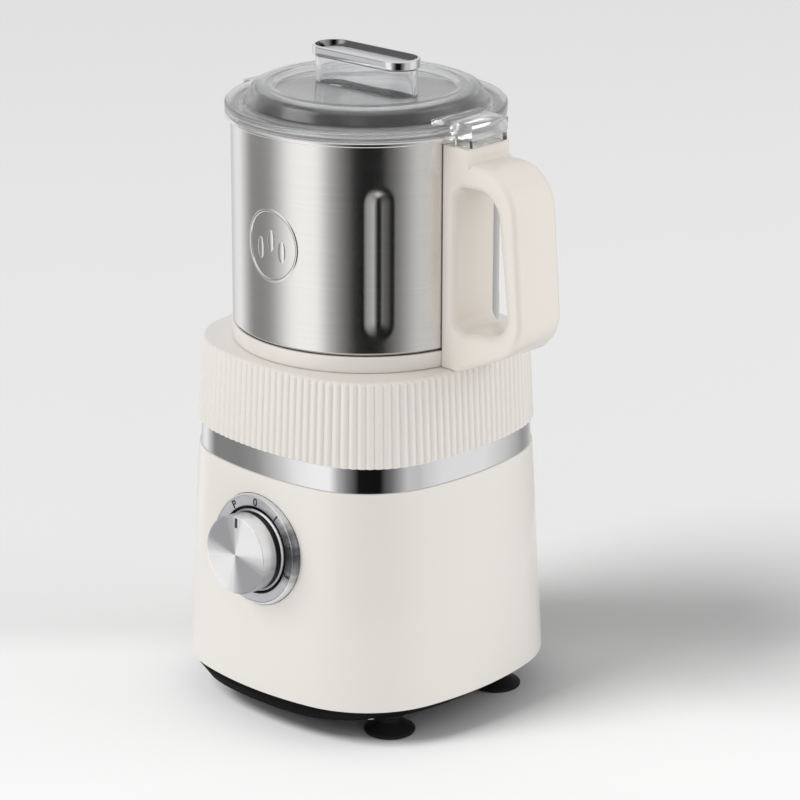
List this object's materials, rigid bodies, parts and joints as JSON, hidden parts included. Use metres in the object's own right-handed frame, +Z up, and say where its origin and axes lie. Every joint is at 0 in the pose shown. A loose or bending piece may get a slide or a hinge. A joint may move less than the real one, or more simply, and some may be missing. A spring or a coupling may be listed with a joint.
{
  "type": "powder grinder",
  "caption": "Upright powder grinder: tapered motor base with a dial knob and reeded collar, lift-off steel cup with a handle and blades, and a clear twist-on lid with a grip.",
  "frame": {"origin": "centre of the base outline on the floor, under the axis of cup, blades and motor", "axes": "+Z up along the motor axis, the knob faces -Y, the cup handle points along +X"},
  "size_m": [0.1789, 0.1616, 0.3],
  "materials": {
    "cream_plastic": "satin",
    "chrome": "mirror",
    "black_plastic": "satin",
    "black_rubber": "matte",
    "soft_seal": "matte",
    "spun_aluminium": "spun",
    "cup_steel": "satin",
    "steel": "plain",
    "clear_plastic": "clear",
    "inner_plastic": "plain",
    "motor_iron": "laminated",
    "copper": "wound",
    "carbon": "plain"
  },
  "bodies": {
    "base": {"lower_housing": "cream_plastic", "chrome_band": "chrome", "reeded_collar": "cream_plastic", "base_plate": "black_plastic", "suction_feet": "black_rubber", "plate_screws": "steel", "collar_screws": "steel", "cord_gland": "black_plastic", "dial_bezel": "spun_aluminium", "rotary_switch": "inner_plastic", "switch_nut": "steel", "stator_core": "motor_iron", "field_coils": "copper", "upper_bracket": "inner_plastic", "lower_bracket": "inner_plastic", "motor_bearings": "steel", "brush_holders": "inner_plastic", "carbon_brushes": "carbon", "motor_bolts": "steel", "motor_dampers": "black_rubber", "motor_screws": "steel", "safety_switch": "inner_plastic", "safety_switch_screws": "steel"},
    "knob": {"knob": "spun_aluminium", "switch_spindle": "steel"},
    "rotor": {"motor_shaft": "steel", "rotor_core": "motor_iron", "rotor_windings": "copper", "commutator": "copper", "cooling_fan": "inner_plastic", "drive_coupling": "black_rubber"},
    "switch_plunger": {"switch_plunger": "soft_seal"},
    "cup": {"cup_shell": "cup_steel", "cup_base": "cream_plastic", "bearing_sleeve": "steel", "sleeve_nut": "steel", "floor_gasket": "soft_seal", "shaft_bushes": "copper", "shaft_seal": "black_rubber", "handle": "cream_plastic", "handle_lugs": "steel", "handle_screws": "steel", "push_rod_spring": "steel"},
    "push_rod": {"push_rod": "cream_plastic"},
    "blades": {"blade_shaft": "steel", "lower_blade": "steel", "upper_blade": "steel", "blade_spacer": "steel", "blade_nut": "steel", "driven_coupling": "black_rubber"},
    "lid_carrier": {"lid_seal": "soft_seal"},
    "lid": {"lid_shell": "clear_plastic", "lid_grip": "clear_plastic", "grip_trim": "chrome"}
  },
  "joints": [
    {"name": "knob_turn", "type": "hinge", "parent": "base", "child": "knob", "pos_m": [0, -0.0712, 0.0843], "axis": [0, 0.9984, -0.0569], "range_deg": [-36, 108]},
    {"name": "motor_spin", "type": "hinge", "parent": "base", "child": "rotor", "pos_m": [0, 0, 0.09], "axis": [0, 0, 1], "continuous": true},
    {"name": "cup_lift", "type": "slide", "parent": "base", "child": "cup", "axis": [0, 0, 1], "range_m": [0, 0.12]},
    {"name": "blade_spin", "type": "hinge", "parent": "cup", "child": "blades", "pos_m": [0, 0, 0.17], "axis": [0, 0, 1], "continuous": true},
    {"name": "lid_lift", "type": "slide", "parent": "cup", "child": "lid_carrier", "axis": [0, 0, 1], "range_m": [0, 0.08]},
    {"name": "lid_twist", "type": "hinge", "parent": "lid_carrier", "child": "lid", "pos_m": [0, 0, 0.2739], "axis": [0, 0, 1], "range_deg": [0, 25]},
    {"name": "push_rod_slide", "type": "slide", "parent": "cup", "child": "push_rod", "axis": [0, 0, 1], "range_m": [0, 0.0025], "deforming": ["push_rod_spring"]},
    {"name": "switch_plunger_slide", "type": "slide", "parent": "base", "child": "switch_plunger", "axis": [0, 0, 1], "range_m": [0, 0.0008]}
  ],
  "couplings": [
    {"joint": "blade_spin", "follows": "motor_spin", "ratio": 1},
    {"joint": "push_rod_slide", "follows": "lid_lift", "ratio": 0.03125},
    {"joint": "switch_plunger_slide", "follows": "cup_lift", "ratio": 0.006666}
  ]
}
